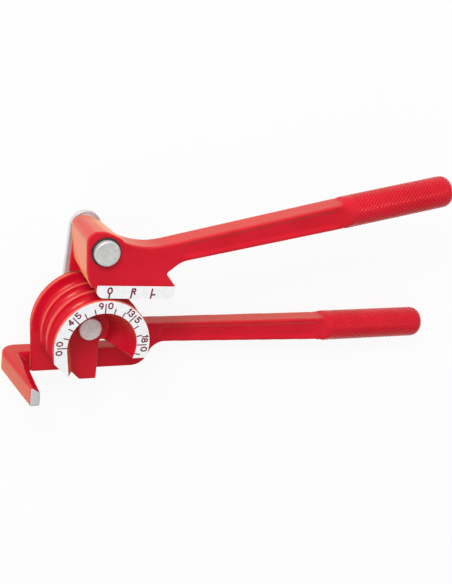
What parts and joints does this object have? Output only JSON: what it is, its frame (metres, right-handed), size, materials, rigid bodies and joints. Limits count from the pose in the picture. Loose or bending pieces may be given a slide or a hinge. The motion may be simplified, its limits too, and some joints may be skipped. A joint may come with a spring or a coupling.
{
  "type": "tube bending pliers",
  "caption": "Red lever bender for small tube: hooked lower lever with a grooved half-round form and angle dial, joined by a link to an upper lever with a grooved shoe and a knurled handle.",
  "frame": {"origin": "on the bend axis, at the height of the ground that the lower grip rests on", "axes": "+X along the lower handle, +Y from the hook bar towards the upper lever, +Z along the bend axis, out of the dial"},
  "size_m": [0.2397, 0.1143, 0.0545],
  "materials": {
    "enamel": "semi-gloss red enamel on cast metal",
    "zinc": "zinc plated steel",
    "bronze": "plain bearing bronze",
    "scale": "white printed label film",
    "black": "blackened steel"
  },
  "bodies": {
    "form_lever": {"lower_lever": "enamel", "bending_form": "enamel", "form_screws": "zinc", "form_dowels": "zinc", "lower_grip": "enamel", "angle_scale": "scale", "form_bush": "bronze"},
    "link": {"link_plate": "zinc", "form_pin": "zinc", "form_pin_washer": "zinc", "form_pin_clip": "zinc", "form_thrust_washer": "zinc", "slide_thrust_washer": "zinc", "slide_pin": "zinc", "slide_pin_washer": "black"},
    "slide_lever": {"slide_lever": "enamel", "upper_grip": "enamel", "slide_scale": "scale", "slide_bush_front": "bronze", "slide_bush_rear": "bronze"}
  },
  "joints": [
    {"name": "bend", "type": "hinge", "parent": "form_lever", "child": "link", "pos_m": [0, 0, 0.015], "axis": [0, 0, -1], "range_deg": [-92.5, 102.5]},
    {"name": "slide_swing", "type": "hinge", "parent": "link", "child": "slide_lever", "pos_m": [-0.00265, 0.04946, 0.034], "axis": [0, 0, 1], "range_deg": [0, 110]}
  ]
}
